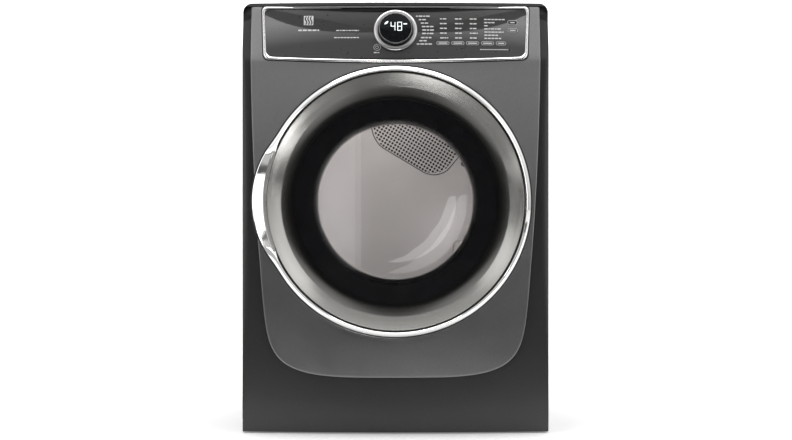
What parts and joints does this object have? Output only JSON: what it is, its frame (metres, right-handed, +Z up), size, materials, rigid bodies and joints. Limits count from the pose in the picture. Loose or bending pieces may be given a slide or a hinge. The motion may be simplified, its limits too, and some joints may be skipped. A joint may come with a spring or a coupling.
{
  "type": "clothes dryer",
  "caption": "Front-loading clothes dryer with a round chrome-rimmed porthole door, side handle lobe, leaning console with a display dial, grey cabinet.",
  "frame": {"origin": "on the floor under the middle of the machine", "axes": "+Z up, -Y out of the front door, +X to the right when facing the front"},
  "size_m": [0.686, 0.792, 0.965],
  "materials": {
    "titanium_paint": "metallic satin",
    "dark_paint": "metallic satin",
    "galvanised": "dull zinc",
    "chrome": "polished",
    "brushed_ring": "turned and brushed",
    "fascia": "high gloss",
    "black_plastic": "moulded",
    "pale_plastic": "moulded",
    "drum_coat": "powder coat",
    "window_glass": "tinted",
    "bowl_glass": "clear",
    "display_glass": "piano black",
    "felt": "pressed felt",
    "belt_rubber": "ribbed",
    "seal_rubber": "soft",
    "steel": "plated",
    "motor_paint": "semi-gloss",
    "circuit_board": "solder mask",
    "key_cap": "satin",
    "heater_sheath": "heat-stained"
  },
  "bodies": {
    "cabinet": {"cabinet_left_side": "dark_paint", "cabinet_right_side": "dark_paint", "rear_panel": "galvanised", "top_panel": "dark_paint", "base_pan": "galvanised", "front_panel": "titanium_paint", "front_bulkhead": "galvanised", "rear_bulkhead": "drum_coat", "console_fascia": "fascia", "console_trim": "chrome", "console_housing": "black_plastic", "control_board": "circuit_board", "display_lens": "display_glass", "drum_felt_seals": "felt", "drum_belt": "belt_rubber", "motor_casing": "motor_paint", "blower_housing": "pale_plastic", "exhaust_duct": "galvanised", "idler_spring": "steel", "heater_housing": "galvanised", "heater_element": "heater_sheath", "terminal_block": "black_plastic", "moisture_sensor_bars": "steel", "drum_lamp": "pale_plastic", "water_valve": "pale_plastic", "steam_line": "seal_rubber", "wiring_harness": "black_plastic", "cabinet_screws": "steel", "door_catch": "black_plastic", "hinge_bracket": "steel"},
    "door": {"door_ring": "chrome", "door_funnel": "brushed_ring", "door_window": "window_glass", "door_inner_frame": "pale_plastic", "door_bowl": "bowl_glass", "door_gasket": "seal_rubber", "door_strike": "steel", "hinge_leaf": "steel"},
    "drum": {"drum_shell": "drum_coat", "drum_baffles": "pale_plastic"},
    "roller_left": {"drum_roller_left": "black_plastic"},
    "roller_right": {"drum_roller_right": "black_plastic"},
    "rotor": {"motor_shaft": "steel", "blower_wheel": "black_plastic"},
    "idler": {"idler_arm": "steel"},
    "idler_wheel": {"idler_pulley": "black_plastic"},
    "selector": {"knob_ring": "chrome"},
    "filter": {"lint_filter": "pale_plastic"},
    "power_key": {"key_power": "key_cap"},
    "temperature_key": {"key_temperature": "key_cap"},
    "dryness_key": {"key_dryness": "key_cap"},
    "time_key": {"key_time": "key_cap"},
    "options_key": {"key_options": "key_cap"},
    "select_key": {"key_select": "key_cap"},
    "start_key": {"key_start": "key_cap"},
    "pause_key": {"key_pause": "key_cap"},
    "front_left_foot": {"foot_front_left": "black_plastic"},
    "front_right_foot": {"foot_front_right": "black_plastic"},
    "rear_left_foot": {"foot_rear_left": "black_plastic"},
    "rear_right_foot": {"foot_rear_right": "black_plastic"}
  },
  "joints": [
    {"name": "door_hinge", "type": "hinge", "parent": "cabinet", "child": "door", "pos_m": [0.285, -0.37, 0.518], "axis": [0, 0, 1], "range_deg": [0, 135]},
    {"name": "drum_spin", "type": "hinge", "parent": "cabinet", "child": "drum", "pos_m": [0, 0, 0.56], "axis": [0, 1, 0], "continuous": true},
    {"name": "roller_left_spin", "type": "hinge", "parent": "cabinet", "child": "roller_left", "pos_m": [-0.20477, 0.274, 0.26756], "axis": [0, 1, 0], "continuous": true},
    {"name": "roller_right_spin", "type": "hinge", "parent": "cabinet", "child": "roller_right", "pos_m": [0.20477, 0.274, 0.26756], "axis": [0, 1, 0], "continuous": true},
    {"name": "motor_spin", "type": "hinge", "parent": "cabinet", "child": "rotor", "pos_m": [0.1, 0, 0.14], "axis": [0, 1, 0], "continuous": true},
    {"name": "idler_swing", "type": "hinge", "parent": "cabinet", "child": "idler", "pos_m": [0.15, 0.015, 0.19], "axis": [0, -1, 0], "range_deg": [0, 8], "stiffness_Nm_per_rad": 4, "springref_deg": -14.32, "deforming": ["idler_spring"]},
    {"name": "idler_spin", "type": "hinge", "parent": "idler", "child": "idler_wheel", "pos_m": [0.03, 0.034, 0.186], "axis": [0, 1, 0], "continuous": true},
    {"name": "selector_turn", "type": "hinge", "parent": "cabinet", "child": "selector", "pos_m": [0, -0.32447, 0.898], "axis": [0, -0.9563, 0.2924], "continuous": true},
    {"name": "filter_lift", "type": "slide", "parent": "cabinet", "child": "filter", "axis": [0, 0, 1], "range_m": [0, 0.2]},
    {"name": "power_press", "type": "slide", "parent": "cabinet", "child": "power_key", "axis": [0.0126, 0.9562, -0.2924], "range_m": [0, 0.0006], "stiffness_N_per_m": 400},
    {"name": "temperature_press", "type": "slide", "parent": "cabinet", "child": "temperature_key", "axis": [-0.0327, 0.9557, -0.2924], "range_m": [0, 0.0006], "stiffness_N_per_m": 400},
    {"name": "dryness_press", "type": "slide", "parent": "cabinet", "child": "dryness_key", "axis": [-0.043, 0.9553, -0.2924], "range_m": [0, 0.0006], "stiffness_N_per_m": 400},
    {"name": "time_press", "type": "slide", "parent": "cabinet", "child": "time_key", "axis": [-0.0532, 0.9548, -0.2924], "range_m": [0, 0.0006], "stiffness_N_per_m": 400},
    {"name": "options_press", "type": "slide", "parent": "cabinet", "child": "options_key", "axis": [-0.0635, 0.9542, -0.2924], "range_m": [0, 0.0006], "stiffness_N_per_m": 400},
    {"name": "select_press", "type": "slide", "parent": "cabinet", "child": "select_key", "axis": [-0.0729, 0.9535, -0.2924], "range_m": [0, 0.0006], "stiffness_N_per_m": 400},
    {"name": "start_press", "type": "slide", "parent": "cabinet", "child": "start_key", "axis": [-0.0816, 0.9528, -0.2924], "range_m": [0, 0.0006], "stiffness_N_per_m": 400},
    {"name": "pause_press", "type": "slide", "parent": "cabinet", "child": "pause_key", "axis": [-0.0816, 0.9528, -0.2924], "range_m": [0, 0.0006], "stiffness_N_per_m": 400},
    {"name": "front_left_level", "type": "slide", "parent": "cabinet", "child": "front_left_foot", "axis": [0, 0, -1], "range_m": [0, 0.02]},
    {"name": "front_right_level", "type": "slide", "parent": "cabinet", "child": "front_right_foot", "axis": [0, 0, -1], "range_m": [0, 0.02]},
    {"name": "rear_left_level", "type": "slide", "parent": "cabinet", "child": "rear_left_foot", "axis": [0, 0, -1], "range_m": [0, 0.02]},
    {"name": "rear_right_level", "type": "slide", "parent": "cabinet", "child": "rear_right_foot", "axis": [0, 0, -1], "range_m": [0, 0.02]}
  ],
  "couplings": [
    {"joint": "motor_spin", "follows": "drum_spin", "ratio": 24.308},
    {"joint": "roller_left_spin", "follows": "drum_spin", "ratio": -9.2795},
    {"joint": "roller_right_spin", "follows": "drum_spin", "ratio": -9.2795},
    {"joint": "idler_spin", "follows": "drum_spin", "ratio": -13.876}
  ]
}
